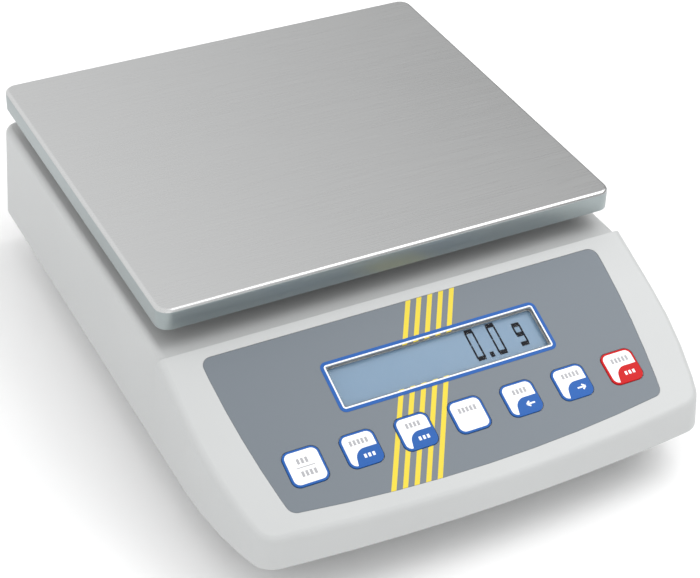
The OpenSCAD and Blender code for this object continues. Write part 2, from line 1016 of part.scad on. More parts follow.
module battery_cover() {
    cover_rear = slot_rear - slide_gap;
    color(shell_color) {
        translate([bay_x - bay_w / 2, tub_front, tub_z])
            cube([bay_w, cover_rear - tub_front, cover_t]);
        translate([bay_x - bay_w / 2 - tongue, tub_front + tongue_set, tongue_z])
            cube([bay_w + 2 * tongue, cover_rear - tub_front - tongue_set, tongue_t]);
        translate([bay_x - bay_w / 2, tub_front, tub_z])
            cube([bay_w, wall - groove_gap, lip_top - tub_z]);
    }
}

// ---- feet ----

module foot_nuts() {
    color(brass_color)
        at_feet()
            difference() {
                translate([0, 0, nut_low])
                    cylinder(d = nut_d, h = nut_top - nut_low);
                translate([0, 0, nut_low - over])
                    cylinder(r = m6_r + fit, h = nut_top);
            }
}

module at_foot(c) {
    translate([c[0] * foot_span_x / 2, foot_y + c[1] * foot_span_y / 2, 0])
        children();
}

module foot_screw(c) {
    color(dark_color)
        at_foot(c) {
            difference() {
                translate([0, 0, sole_h])
                    cylinder(d = knob_d, h = knob_top - sole_h);
                for (i = [0 : grips - 1])
                    rotate([0, 0, i * 360 / grips])
                        translate([knob_d / 2 + grip_out, 0, sole_h - over])
                            cylinder(r = grip_r, h = knob_top, $fn = 24);
            }
            translate([0, 0, knob_top])
                cylinder(r = m6_r, h = stud_top - knob_top);
            translate([0, 0, socket_floor + stud_foot])
                cylinder(r = m6_r, h = sole_h - socket_floor);
        }
}

module foot_sole(c) {
    color([0.1, 0.1, 0.1])
        at_foot(c)
            difference() {
                cylinder(d = sole_d, h = sole_h);
                translate([0, 0, socket_floor])
                    cylinder(r = m6_r + fit, h = sole_h);
            }
}

weighing_pan();
pan_buffers();
pan_support();
support_screws();
upper_spacer();
load_cell();
lower_spacer();
load_cell_screws();
chassis_plate();
chassis_screws();
overload_stops();
stop_nuts();
upper_housing();
lower_housing();
housing_screws();
front_foil();
display_window();
display_glass();
display_holder();
display_board();
display_board_screws();
key_switches();
key(0, "white");  // key_on_off
key(1, "white");  // key_print
key(2, "white");  // key_reference
key(3, "white");  // key_mode
key(4, "white");  // key_left
key(5, "white");  // key_right
key(6, "red");  // key_tare
main_board();
main_board_screws();
signal_shield();
power_jack();
serial_port();
load_cell_cable();
ribbon_cable();
battery();
battery_clip();
battery_cover();
foot_nuts();
foot_screw(front_left);  // foot_screw_front_left
foot_screw(front_right);  // foot_screw_front_right
foot_screw(rear_left);  // foot_screw_rear_left
foot_screw(rear_right);  // foot_screw_rear_right
foot_sole(front_left);  // foot_sole_front_left
foot_sole(front_right);  // foot_sole_front_right
foot_sole(rear_left);  // foot_sole_rear_left
foot_sole(rear_right);  // foot_sole_rear_right
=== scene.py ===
import json
import math

import bmesh
import bpy
from mathutils import Matrix, Vector


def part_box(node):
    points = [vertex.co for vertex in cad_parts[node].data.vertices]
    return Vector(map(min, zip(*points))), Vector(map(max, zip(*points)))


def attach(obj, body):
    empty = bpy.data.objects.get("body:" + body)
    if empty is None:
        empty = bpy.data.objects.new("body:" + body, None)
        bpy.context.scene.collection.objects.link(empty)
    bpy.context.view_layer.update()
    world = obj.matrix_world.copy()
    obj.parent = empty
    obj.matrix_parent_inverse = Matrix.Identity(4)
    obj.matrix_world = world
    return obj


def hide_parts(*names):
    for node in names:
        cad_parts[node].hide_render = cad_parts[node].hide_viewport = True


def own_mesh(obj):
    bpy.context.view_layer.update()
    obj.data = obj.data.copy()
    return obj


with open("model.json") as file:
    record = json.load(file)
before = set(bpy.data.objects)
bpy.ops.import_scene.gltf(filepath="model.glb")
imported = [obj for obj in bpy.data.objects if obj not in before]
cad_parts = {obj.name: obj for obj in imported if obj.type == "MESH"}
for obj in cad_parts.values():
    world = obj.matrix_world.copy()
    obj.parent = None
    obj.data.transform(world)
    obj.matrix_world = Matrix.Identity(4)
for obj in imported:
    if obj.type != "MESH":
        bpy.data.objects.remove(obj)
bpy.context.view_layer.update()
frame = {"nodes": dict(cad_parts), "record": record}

# The control panel's own plane: across, down the slope, out of the surface
panel = {"creaseY": -0.0663, "creaseZ": 0.083, "slope": 21.65}

# Middle of the display and the row of keys on that plane, in metres
display = {"x": 0.003, "v": 0.040}
keys = {"middle": 0.002, "v": 0.0746, "pitch": 0.0292, "size": 0.0184, "firstExtra": 0.0008}
keyNames = ["key_on_off", "key_print", "key_reference", "key_mode", "key_left", "key_right", "key_tare"]


def panelMatrix(x, v, n):
    crease = Matrix.Translation((0, panel["creaseY"], panel["creaseZ"]))
    slope = Matrix.Rotation(math.radians(panel["slope"]), 4, "X")
    return crease @ slope @ Matrix.Translation((x, -v, n))


# Each finish is a small node tree on Object coordinates
def startMaterial(name):
    mat = bpy.data.materials.new(name)
    mat.use_nodes = True
    tree = mat.node_tree
    shader = tree.nodes["Principled BSDF"]
    return mat, tree, shader


def addNode(tree, kind, **values):
    node = tree.nodes.new(kind)
    for key, value in values.items():
        if key in node.inputs:
            node.inputs[key].default_value = value
        else:
            setattr(node, key, value)
    return node


def objectCoords(tree, stretch=(1, 1, 1)):
    coords = tree.nodes.new("ShaderNodeTexCoord")
    mapping = tree.nodes.new("ShaderNodeMapping")
    mapping.inputs["Scale"].default_value = stretch
    tree.links.new(coords.outputs["Object"], mapping.inputs["Vector"])
    return mapping.outputs["Vector"]


def noiseAt(tree, vector, scale, detail=3.0, rough=0.5):
    noise = addNode(tree, "ShaderNodeTexNoise", Scale=scale, Detail=detail, Roughness=rough)
    tree.links.new(vector, noise.inputs["Vector"])
    return noise.outputs["Fac"]


def remap(tree, value, fromLow, fromHigh, toLow, toHigh):
    node = tree.nodes.new("ShaderNodeMapRange")
    for socket, number in zip(("From Min", "From Max", "To Min", "To Max"),
                              (fromLow, fromHigh, toLow, toHigh)):
        node.inputs[socket].default_value = number
    tree.links.new(value, node.inputs["Value"])
    return node.outputs["Result"]


def mathAt(tree, operation, *values):
    node = addNode(tree, "ShaderNodeMath", operation=operation)
    for socket, value in zip(node.inputs, values):
        if isinstance(value, bpy.types.NodeSocket):
            tree.links.new(value, socket)
        else:
            socket.default_value = value
    return node.outputs[0]


def twoColours(tree, factor, low, high):
    ramp = tree.nodes.new("ShaderNodeValToRGB")
    ramp.color_ramp.elements[0].color = (*low, 1)
    ramp.color_ramp.elements[1].color = (*high, 1)
    tree.links.new(factor, ramp.inputs["Fac"])
    return ramp.outputs["Color"]


def addBump(tree, shader, height, strength, distance):
    bump = addNode(tree, "ShaderNodeBump", Strength=strength, Distance=distance)
    tree.links.new(height, bump.inputs["Height"])
    tree.links.new(bump.outputs["Normal"], shader.inputs["Normal"])


def mouldedPlastic(name, colour, rough=0.5, grain=1800.0, strength=0.25, drift=0.04, coat=0.0,
                   gloss=0.5):
    mat, tree, shader = startMaterial(name)
    coords = objectCoords(tree)
    fine = noiseAt(tree, coords, grain, 2.0)
    broad = noiseAt(tree, coords, 14.0, 3.0)
    low = tuple(c * (1 - drift) for c in colour)
    high = tuple(min(1.0, c * (1 + drift)) for c in colour)
    colourOut = twoColours(tree, remap(tree, broad, 0.3, 0.7, 0, 1), low, high)
    tree.links.new(colourOut, shader.inputs["Base Color"])
    roughOut = remap(tree, fine, 0.25, 0.75, rough - 0.05, rough + 0.07)
    tree.links.new(roughOut, shader.inputs["Roughness"])
    addBump(tree, shader, fine, strength, 0.00006)
    shader.inputs["Specular IOR Level"].default_value = gloss
    shader.inputs["Coat Weight"].default_value = coat
    shader.inputs["Coat Roughness"].default_value = 0.25
    return mat


def brushedMetal(name, colour, rough, stretch, drift=0.05, strength=0.1, scale=900.0):
    mat, tree, shader = startMaterial(name)
    lines = noiseAt(tree, objectCoords(tree, stretch), scale, 4.0, 0.6)
    broad = noiseAt(tree, objectCoords(tree), 9.0, 2.0)
    low = tuple(c * (1 - drift) for c in colour)
    high = tuple(min(1.0, c * (1 + drift)) for c in colour)
    colourOut = twoColours(tree, remap(tree, lines, 0.3, 0.7, 0, 1), low, high)
    tree.links.new(colourOut, shader.inputs["Base Color"])
    streaks = remap(tree, lines, 0.25, 0.75, rough - 0.06, rough + 0.05)
    patches = remap(tree, broad, 0.3, 0.7, -0.015, 0.02)
    tree.links.new(mathAt(tree, "ADD", streaks, patches), shader.inputs["Roughness"])
    shader.inputs["Metallic"].default_value = 1.0
    addBump(tree, shader, lines, strength, 0.00002)
    return mat


def castMetal(name, colour, rough, grain=700.0, strength=0.4):
    mat, tree, shader = startMaterial(name)
    coords = objectCoords(tree)
    grit = noiseAt(tree, coords, grain, 4.0, 0.6)
    low = tuple(c * 0.88 for c in colour)
    tree.links.new(twoColours(tree, grit, low, colour), shader.inputs["Base Color"])
    tree.links.new(remap(tree, grit, 0.2, 0.8, rough - 0.08, rough + 0.1), shader.inputs["Roughness"])
    shader.inputs["Metallic"].default_value = 1.0
    addBump(tree, shader, grit, strength, 0.0001)
    return mat


def circuitBoard(name):
    mat, tree, shader = startMaterial(name)
    coords = objectCoords(tree)
    tracks = addNode(tree, "ShaderNodeTexBrick", Scale=150.0)
    tracks.inputs["Color1"].default_value = (0.012, 0.12, 0.05, 1)
    tracks.inputs["Color2"].default_value = (0.016, 0.15, 0.065, 1)
    tracks.inputs["Mortar"].default_value = (0.03, 0.24, 0.11, 1)
    tracks.inputs["Mortar Size"].default_value = 0.03
    tree.links.new(coords, tracks.inputs["Vector"])
    tree.links.new(tracks.outputs["Color"], shader.inputs["Base Color"])
    tree.links.new(remap(tree, noiseAt(tree, coords, 300.0), 0.2, 0.8, 0.28, 0.42),
                   shader.inputs["Roughness"])
    addBump(tree, shader, tracks.outputs["Fac"], 0.3, 0.00005)
    return mat


def clearAcrylic(name):
    mat, tree, shader = startMaterial(name)
    coords = objectCoords(tree)
    shader.inputs["Base Color"].default_value = (0.05, 0.06, 0.07, 1)
    shader.inputs["Alpha"].default_value = 0.04
    smear = noiseAt(tree, coords, 60.0, 2.0)
    tree.links.new(remap(tree, smear, 0.3, 0.7, 0.06, 0.12), shader.inputs["Roughness"])
    return mat


def liquidCrystal(name):
    mat, tree, shader = startMaterial(name)
    coords = objectCoords(tree)
    film = noiseAt(tree, coords, 2600.0, 1.0)
    glow = noiseAt(tree, coords, 22.0, 1.0)
    low, high = (0.150, 0.255, 0.375), (0.168, 0.276, 0.40)
    tree.links.new(twoColours(tree, glow, low, high), shader.inputs["Base Color"])
    tree.links.new(remap(tree, film, 0.2, 0.8, 0.3, 0.42), shader.inputs["Roughness"])
    addBump(tree, shader, film, 0.05, 0.00002)
    return mat


# Printed overlay: blue-grey film with plain slanted bands near the middle
overlay = {"colour": (0.131, 0.155, 0.180), "band": (0.68, 0.53, 0.008), "first": 0.0,
           "topEdge": -0.006, "pitch": 0.0062, "width": 0.0028, "count": 5, "lean": -0.56}
sliver = 0.0001  # keeps the first and last band from starting again at the ends of the count


def printedFilm(name):
    mat, tree, shader = startMaterial(name)
    coords = objectCoords(tree)
    fine = noiseAt(tree, coords, 2400.0, 2.0)
    low = tuple(c * 0.97 for c in overlay["colour"])
    film = twoColours(tree, fine, low, overlay["colour"])
    plane = tree.nodes.new("ShaderNodeVectorRotate")
    plane.rotation_type = "X_AXIS"
    plane.inputs["Center"].default_value = (0, panel["creaseY"], panel["creaseZ"])
    plane.inputs["Angle"].default_value = -math.radians(panel["slope"])
    tree.links.new(coords, plane.inputs["Vector"])
    split = tree.nodes.new("ShaderNodeSeparateXYZ")
    tree.links.new(plane.outputs["Vector"], split.inputs["Vector"])
    lean = mathAt(tree, "MULTIPLY_ADD", split.outputs["Y"], overlay["lean"], split.outputs["X"])
    span = overlay["pitch"] * overlay["count"]
    start = overlay["first"] + overlay["lean"] * (panel["creaseY"] + overlay["topEdge"])
    along = remap(tree, lean, start, start + span, 0, overlay["count"])
    inside = mathAt(tree, "LESS_THAN", mathAt(tree, "FRACT", along), overlay["width"] / overlay["pitch"])
    above = mathAt(tree, "GREATER_THAN", along, sliver)
    below = mathAt(tree, "LESS_THAN", along, overlay["count"] - sliver)
    band = mathAt(tree, "MULTIPLY", mathAt(tree, "MULTIPLY", above, below), inside)
    mix = tree.nodes.new("ShaderNodeMix")
    mix.data_type = "RGBA"
    colourA, colourB, colourOut = mix.inputs[6], mix.inputs[7], mix.outputs[2]  # its colour sockets
    tree.links.new(band, mix.inputs["Factor"])
    tree.links.new(film, colourA)
    colourB.default_value = (*overlay["band"], 1)
    tree.links.new(colourOut, shader.inputs["Base Color"])
    tree.links.new(remap(tree, fine, 0.25, 0.75, 0.42, 0.52), shader.inputs["Roughness"])
    addBump(tree, shader, fine, 0.12, 0.00003)
    return mat


def makeFinishes():
    return {
        "pan_steel": brushedMetal("brushedSteelPan", (0.535, 0.54, 0.54), 0.30, (0.012, 1, 1),
                                  0.02, 0.02, 2600.0),
        # Rim: the same steel in a darker teal-grey, painted shade standing in for the darker reflections
        # on the pan's upright sides
        "pan_rim": brushedMetal("brushedSteelRimPaintedShade", (0.33, 0.37, 0.375), 0.38, (0.01, 0.01, 1),
                                0.02, 0.02, 2600.0),
        "black_rubber": mouldedPlastic("blackRubber", (0.022, 0.022, 0.023), 0.75, 1200, 0.5),
        "cast_alloy": castMetal("castAlloy", (0.60, 0.61, 0.63), 0.5),
        "machined_alloy": brushedMetal("milledAlloy", (0.72, 0.73, 0.75), 0.3, (1, 0.04, 1), scale=500.0),
        "zinc_screw": castMetal("zincPlating", (0.56, 0.56, 0.53), 0.32, 2500.0, 0.1),
        "plated_sheet": castMetal("platedSheet", (0.58, 0.59, 0.57), 0.36, 400.0, 0.1),
        "brass_part": brushedMetal("turnedBrass", (0.74, 0.55, 0.24), 0.28, (1, 1, 0.05)),
        "housing_plastic": mouldedPlastic("lightGreyShell", (0.475, 0.485, 0.485), 0.46, 1500.0, 0.3,
                                          0.015),
        "overlay_foil": printedFilm("printedOverlay"),
        "clear_window": clearAcrylic("clearAcrylic"),
        "display_blue": liquidCrystal("paleBlueDisplay"),
        "white_plastic": mouldedPlastic("whiteHolder", (0.78, 0.78, 0.75), 0.45),
        "circuit_board": circuitBoard("greenBoard"),
        "black_plastic": mouldedPlastic("blackMoulding", (0.018, 0.018, 0.02), 0.4),
        "key_white": mouldedPlastic("whiteKeyFace", (0.86, 0.87, 0.88), 0.38, 2600.0, 0.15, 0.01),
        "key_red": mouldedPlastic("whiteKeyFaceTare", (0.86, 0.87, 0.88), 0.38, 2600.0, 0.15, 0.01),
        "cable_jacket": mouldedPlastic("greyJacket", (0.10, 0.10, 0.105), 0.55),
        "ribbon_jacket": mouldedPlastic("ribbonJacket", (0.50, 0.50, 0.47), 0.5),
        "battery_case": mouldedPlastic("batterySleeve", (0.05, 0.055, 0.07), 0.35, coat=0.4),
        "foot_plastic": mouldedPlastic("footKnob", (0.03, 0.03, 0.032), 0.5),
    }


def coatEverything(finishes):
    slots = {part["node"]: part["material_slot"] for part in frame["record"]["subparts"]}
    for name, node in frame["nodes"].items():
        for slot in node.material_slots:
            slot.material = finishes[slots[name]]


def keepMesh(bm, name, body, materials, smoothAngle=35.0):
    mesh = bpy.data.meshes.new(name)
    bm.to_mesh(mesh)
    bm.free()
    for face in mesh.polygons:
        face.use_smooth = True
    mesh.set_sharp_from_angle(angle=math.radians(smoothAngle))
    piece = bpy.data.objects.new(name, mesh)
    bpy.context.collection.objects.link(piece)
    for material in materials:
        mesh.materials.append(material)
    if body:
        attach(piece, body)
    return piece


def weightNormals(piece):
    mod = piece.modifiers.new("evenShading", "WEIGHTED_NORMAL")
    mod.keep_sharp = True
    mod.weight = 80


def roundedPlate(bm, width, length, radius, segments=6):
    made = bmesh.ops.create_grid(bm, x_segments=1, y_segments=1, size=0.5)
    corners = made["verts"]
    bmesh.ops.scale(bm, vec=(width, length, 1), verts=corners)
    bmesh.ops.bevel(bm, geom=corners, affect="VERTICES", offset=radius, offset_type="OFFSET",
                    segments=segments, profile=0.5, material=-1)


# Copies of CAD shapes with smooth shading: how vertices merge, flat faces join and edges soften
copyLook = {"merge": 0.00001, "flat": 0.2, "smooth": 32.0, "edgeSteps": 2, "edgeAngle": 40}


def smoothCopy(nodeName, pieceName, body, material, edge=0.0):
    bm = bmesh.new()
    bm.from_mesh(frame["nodes"][nodeName].data)
    bmesh.ops.remove_doubles(bm, verts=bm.verts, dist=copyLook["merge"])
    bmesh.ops.dissolve_limit(bm, angle_limit=math.radians(copyLook["flat"]), verts=bm.verts,
                             edges=bm.edges)
    piece = keepMesh(bm, pieceName, body, [material], copyLook["smooth"])
    if edge:
        soft = piece.modifiers.new("softEdges", "BEVEL")
        soft.width = edge
        soft.segments = copyLook["edgeSteps"]
        soft.limit_method = "ANGLE"
        soft.angle_limit = math.radians(copyLook["edgeAngle"])
    weightNormals(piece)
    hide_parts(nodeName)
    return piece


softEdges = {"rubber": 0.0006, "casting": 0.0005, "cover": 0.0002, "knob": 0.0003, "sole": 0.0005}

# The cell bends as the support sinks; here it is a smoothed copy with soft edges
cell = {"edge": 0.0003, "travel": 0.0005}


def makeLoadCell(finishes):
    piece = smoothCopy("load_cell", "loadCell", "housing",
                       finishes["machined_alloy"], cell["edge"])
    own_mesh(piece)


# Pan: a folded tray of thin sheet
pan = {"corner": 0.007, "cornerSteps": 10, "fold": 0.0020, "foldSteps": 6, "sheet": 0.0010,
       "creaseAngle": 40.0, "paintedShadeRimSlope": 0.2}
hair = 1e-6  # slack when heights are compared, in metres


def makePan(finishes):
    low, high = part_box("weighing_pan")
    size, middle = high - low, (high + low) / 2
    bm = bmesh.new()
    bmesh.ops.create_cube(bm, size=1, matrix=Matrix.Translation(middle) @ Matrix.Diagonal((*size, 1)))
    upright = [e for e in bm.edges if abs(e.verts[0].co.z - e.verts[1].co.z) > pan["sheet"]]
    bmesh.ops.bevel(bm, geom=upright, affect="EDGES", offset=pan["corner"], offset_type="OFFSET",
                    segments=pan["cornerSteps"], profile=0.5, material=-1)
    rim = [e for e in bm.edges if all(abs(v.co.z - high.z) < hair for v in e.verts)]
    bmesh.ops.bevel(bm, geom=rim, affect="EDGES", offset=pan["fold"], offset_type="OFFSET",
                    segments=pan["foldSteps"], profile=0.5, material=-1)
    bottom = [f for f in bm.faces if all(abs(v.co.z - low.z) < hair for v in f.verts)]
    bmesh.ops.delete(bm, geom=bottom, context="FACES")
    bmesh.ops.recalc_face_normals(bm, faces=bm.faces)
    for face in bm.faces:
        # Upright faces take the darker rim steel: painted shade on the pan's sides
        face.material_index = 1 if abs(face.normal.z) < pan["paintedShadeRimSlope"] else 0
    piece = keepMesh(bm, "panTray", "pan", [finishes["pan_steel"], finishes["pan_rim"]],
                     pan["creaseAngle"])
    wall = piece.modifiers.new("sheet", "SOLIDIFY")
    wall.thickness = pan["sheet"]
    wall.offset = -1
    wall.use_even_offset = True
    weightNormals(piece)
    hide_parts("weighing_pan")


# Printed lines round the display window
frameLines = {"outerWidth": 0.1206, "outerLength": 0.0288, "corner": 0.0034, "blue": 0.0018,
              "white": 0.0008, "root": -0.0001, "blueTop": 0.00005, "whiteTop": 0.00009}


def ringPiece(name, width, length, radius, thick, lowN, highN, material):
    bm = bmesh.new()
    roundedPlate(bm, width, length, radius)
    bmesh.ops.inset_region(bm, faces=bm.faces[:], thickness=thick, use_even_offset=True,
                           use_boundary=True)
    centre = max(bm.faces, key=lambda f: f.calc_area())
    bmesh.ops.delete(bm, geom=[centre], context="FACES")
    raised = bmesh.ops.extrude_face_region(bm, geom=bm.faces[:])
    moved = [v for v in raised["geom"] if isinstance(v, bmesh.types.BMVert)]
    bmesh.ops.translate(bm, vec=(0, 0, highN - lowN), verts=moved)
    bmesh.ops.transform(bm, matrix=panelMatrix(display["x"], display["v"], lowN), verts=bm.verts)
    bmesh.ops.recalc_face_normals(bm, faces=bm.faces)
    return keepMesh(bm, name, "housing", [material])


def makeDisplay(inks):
    ringPiece("displayFrameBlue", frameLines["outerWidth"], frameLines["outerLength"],
              frameLines["corner"], frameLines["blue"] + frameLines["white"],
              frameLines["root"], frameLines["blueTop"], inks["blue"])
    ringPiece("displayFrameWhite", frameLines["outerWidth"] - 2 * frameLines["blue"],
              frameLines["outerLength"] - 2 * frameLines["blue"],
              frameLines["corner"] - frameLines["blue"], frameLines["white"],
              frameLines["root"], frameLines["whiteTop"], inks["white"])


# seven segments of a digit, in units of the digit's width and height: from, to
segments = {"top": ((0, 1), (1, 1)), "upRight": ((1, 1), (1, 0.5)), "lowRight": ((1, 0.5), (1, 0)),
            "bottom": ((0, 0), (1, 0)), "lowLeft": ((0, 0), (0, 0.5)), "upLeft": ((0, 0.5), (0, 1)),
            "middle": ((0, 0.5), (1, 0.5))}
zeroBars = ["top", "upRight", "lowRight", "bottom", "lowLeft", "upLeft"]
unitBars = ["top", "upLeft", "middle", "upRight", "lowRight", "bottom"]

# Places are across and down the panel, and depth is how far below it the digits lie
digits = {"width": 0.0040, "height": 0.0160, "stroke": 0.0009, "bar": 0.0024, "gap": 0.0002,
          "overlap": -0.0002, "depth": -0.0027, "zeros": (0.0221, 0.0343), "zeroV": 0.0466}
point = {"x": 0.0303, "v": 0.0462, "half": 0.0011, "height": 0.0030}
unit = {"x": 0.0476, "v": 0.0456, "width": 0.0038, "height": 0.0112}
inkThickness = 0.0001


def addBar(bm, start, end, stroke, gap, place):
    run = Vector(end) - Vector(start)
    length = run.length - 2 * gap
    middle = (Vector(start) + Vector(end)) / 2
    turn = math.atan2(run.y, run.x)
    shape = Matrix.Rotation(turn, 4, "Z") @ Matrix.Diagonal((length, stroke, inkThickness, 1))
    bmesh.ops.create_cube(bm, size=1, matrix=place @ Matrix.Translation((middle.x, middle.y, 0)) @ shape)


def addDigit(bm, x, v, names, width, height):
    place = panelMatrix(x, v, digits["depth"])
    for name in names:
        (x0, y0), (x1, y1) = segments[name]
        level = y0 == y1
        addBar(bm, (x0 * width, y0 * height), (x1 * width, y1 * height),
               digits["bar"] if level else digits["stroke"],
               digits["overlap"] if level else digits["gap"], place)


def makeDigits(inks):
    bm = bmesh.new()
    for x in digits["zeros"]:
        addDigit(bm, x, digits["zeroV"], zeroBars, digits["width"], digits["height"])
    place = panelMatrix(point["x"], point["v"], digits["depth"])
    addBar(bm, (-point["half"], 0), (point["half"], 0), point["height"], 0, place)
    addDigit(bm, unit["x"], unit["v"], unitBars, unit["width"], unit["height"])
    bmesh.ops.recalc_face_normals(bm, faces=bm.faces)
    keepMesh(bm, "displayDigits", "housing", [inks["black"]])


# Keys: flat caps with a rounded rim, a printed edge and a pin down to the switch
keyLook = {"border": 0.0010, "corner": 0.0042, "round": 0.0003, "roundSteps": 3, "top": 0.0003,
           "low": -0.0009, "smooth": 30.0, "manySides": 8}
stem = {"radius": 0.002, "depth": 0.0047, "sides": 24}
redKey = keyNames.index("key_tare")
middleKey = keyNames.index("key_mode")


def keyCap(i, name, finishes, inks):
    width = keys["size"] + (keys["firstExtra"] if i == 0 else 0)
    x = keys["middle"] + (i - middleKey) * keys["pitch"]
    edgeInk = inks["red"] if i == redKey else inks["blue"]
    slotName = "key_red" if i == redKey else "key_white"
    bm = bmesh.new()
    roundedPlate(bm, width, width, keyLook["corner"])
    raised = bmesh.ops.extrude_face_region(bm, geom=bm.faces[:])
    moved = [v for v in raised["geom"] if isinstance(v, bmesh.types.BMVert)]
    bmesh.ops.translate(bm, vec=(0, 0, keyLook["top"] - keyLook["low"]), verts=moved)
    bmesh.ops.recalc_face_normals(bm, faces=bm.faces)
    topFace = max(bm.faces, key=lambda f: f.calc_center_median().z)
    rim = list(topFace.edges)
    bmesh.ops.bevel(bm, geom=rim, affect="EDGES", offset=keyLook["round"], offset_type="OFFSET",
                    segments=keyLook["roundSteps"], profile=0.5, material=-1)
    flats = [f for f in bm.faces if len(f.verts) > keyLook["manySides"]]
    topFace = max(flats, key=lambda f: f.calc_center_median().z)
    for face in bm.faces:
        face.material_index = 1
    bmesh.ops.inset_region(bm, faces=[topFace], thickness=keyLook["border"] - keyLook["round"] * 0.5,
                           use_even_offset=True)
    topFace.material_index = 0
    pin = bmesh.ops.create_cone(bm, cap_ends=True, segments=stem["sides"], radius1=stem["radius"],
                                radius2=stem["radius"], depth=stem["depth"],
                                matrix=Matrix.Translation((0, 0, -stem["depth"] / 2)))
    for v in pin["verts"]:
        for face in v.link_faces:
            face.material_index = 0
    bmesh.ops.transform(bm, matrix=panelMatrix(x, keys["v"], keyLook["low"]), verts=bm.verts)
    piece = keepMesh(bm, name.replace("_", "") + "Cap", name,
                     [finishes[slotName], edgeInk], keyLook["smooth"])
    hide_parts(name)
    return x, width, edgeInk, slotName


# Coloured tab in the lower right of a key, in shares of the white face's half width
tab = {"inset": 0.0001, "left": -0.42, "flare": 0.22, "top": 0.02, "sweep": 0.0045, "sweepSteps": 8,
       "cornerSteps": 6, "thick": 0.00005, "sink": 0.00001}


def keyTab(name, x, width, ink):
    half = width / 2 - keyLook["border"] - tab["inset"]
    left, top = half * tab["left"], half * tab["top"]
    bm = bmesh.new()
    made = bmesh.ops.create_grid(bm, x_segments=1, y_segments=1, size=0.5)["verts"]
    for v in made:
        low = v.co.y < 0
        v.co.x = half if v.co.x > 0 else left - (half * tab["flare"] if low else 0)
        v.co.y = -half if low else top
    upLeft = [v for v in made if v.co.x < 0 < v.co.y]
    lowRight = [v for v in made if v.co.y < 0 < v.co.x]
    bmesh.ops.bevel(bm, geom=upLeft, affect="VERTICES", offset=tab["sweep"], offset_type="OFFSET",
                    segments=tab["sweepSteps"], profile=0.5, material=-1)
    bmesh.ops.bevel(bm, geom=lowRight, affect="VERTICES", offset=keyLook["corner"] - keyLook["border"],
                    offset_type="OFFSET", segments=tab["cornerSteps"], profile=0.5, material=-1)
    raised = bmesh.ops.extrude_face_region(bm, geom=bm.faces[:])
    moved = [v for v in raised["geom"] if isinstance(v, bmesh.types.BMVert)]
    bmesh.ops.translate(bm, vec=(0, 0, tab["thick"]), verts=moved)
    bmesh.ops.transform(bm, matrix=panelMatrix(x, keys["v"], keyLook["top"] - tab["sink"]),
                        verts=bm.verts)
    bmesh.ops.recalc_face_normals(bm, faces=bm.faces)
    keepMesh(bm, name.replace("_", "") + "Tab", name, [ink])


# Plain marks on each key, in half key widths: rows of blocks as left end, height and count
blockRows = {0: [(-0.34, 0.34, 3), (-0.36, -0.36, 4)], 1: [(-0.52, 0.42, 5)], 2: [(-0.42, 0.42, 4)],
             3: [(-0.50, 0.34, 5)], 4: [(-0.34, 0.42, 4)], 5: [(-0.44, 0.44, 5)], 6: [(-0.46, 0.42, 5)]}
blockLook = {"width": 0.14, "gap": 0.085, "height": 0.30, "lift": 0.00002, "line": (-0.5, 0.5, 0.05)}
tabSigns = {1: "bars", 2: "bars", 4: "left", 5: "right", 6: "bars"}
signLook = {"lift": 0.00006, "barStart": 0.02, "barStep": 0.24, "barWidth": 0.14, "bars": 3,
            "barLow": -0.56, "barHigh": -0.34, "near": 0.10, "far": 0.60, "level": -0.44,
            "barb": 0.2, "spread": 0.15, "line": 0.09}


def keyMarks(i, name, x, width, inks):
    half = width / 2
    place = panelMatrix(x, keys["v"], keyLook["top"] + blockLook["lift"])
    step = blockLook["width"] + blockLook["gap"]
    bm = bmesh.new()
    for startX, y, count in blockRows[i]:
        for k in range(count):
            middle = startX + k * step + blockLook["width"] / 2
            low, high = y - blockLook["height"] / 2, y + blockLook["height"] / 2
            addBar(bm, (middle * half, low * half), (middle * half, high * half),
                   blockLook["width"] * half, 0, place)
    if i == 0:
        start, end, thick = (share * half for share in blockLook["line"])
        addBar(bm, (start, 0), (end, 0), thick, 0, place)
    bmesh.ops.recalc_face_normals(bm, faces=bm.faces)
    keepMesh(bm, name.replace("_", "") + "Marks", name, [inks["grey"]])
    if i not in tabSigns:
        return
    place = panelMatrix(x, keys["v"], keyLook["top"] + signLook["lift"])
    bm = bmesh.new()
    if tabSigns[i] == "bars":
        for k in range(signLook["bars"]):
            middle = (signLook["barStart"] + k * signLook["barStep"]) * half
            addBar(bm, (middle, signLook["barLow"] * half), (middle, signLook["barHigh"] * half),
                   signLook["barWidth"] * half, 0, place)
    else:
        ends = [signLook["near"], signLook["far"]]
        if tabSigns[i] == "left":
            ends.reverse()
        tail, tip = (Vector((end * half, signLook["level"] * half)) for end in ends)
        back = (tail - tip).normalized() * signLook["barb"] * half
        side = Vector((0, signLook["spread"] * half))
        for end in (tail, tip + back + side, tip + back - side):
            addBar(bm, tip, end, signLook["line"] * half, 0, place)
    bmesh.ops.recalc_face_normals(bm, faces=bm.faces)
    keepMesh(bm, name.replace("_", "") + "Sign", name, [inks["white"]])


def makeKeys(finishes, inks):
    for i, name in enumerate(keyNames):
        x, width, edgeInk, slotName = keyCap(i, name, finishes, inks)
        if i in tabSigns:
            keyTab(name, x, width, edgeInk)
        keyMarks(i, name, x, width, inks)


def makeInks():
    return {
        "blue": mouldedPlastic("blueInk", (0.018, 0.100, 0.36), 0.42, 2600.0, 0.1, 0.02, gloss=0.15),
        "red": mouldedPlastic("redInk", (0.50, 0.004, 0.006), 0.42, 2600.0, 0.1, 0.02, gloss=0.15),
        "white": mouldedPlastic("whiteInk", (0.82, 0.85, 0.88), 0.42, 2600.0, 0.1, 0.01),
        "grey": mouldedPlastic("greyInk", (0.36, 0.36, 0.38), 0.5, 2600.0, 0.1, 0.02),
        "black": mouldedPlastic("blackInk", (0.006, 0.007, 0.011), 0.6, 2600.0, 0.1, 0.02, gloss=0.1),
    }


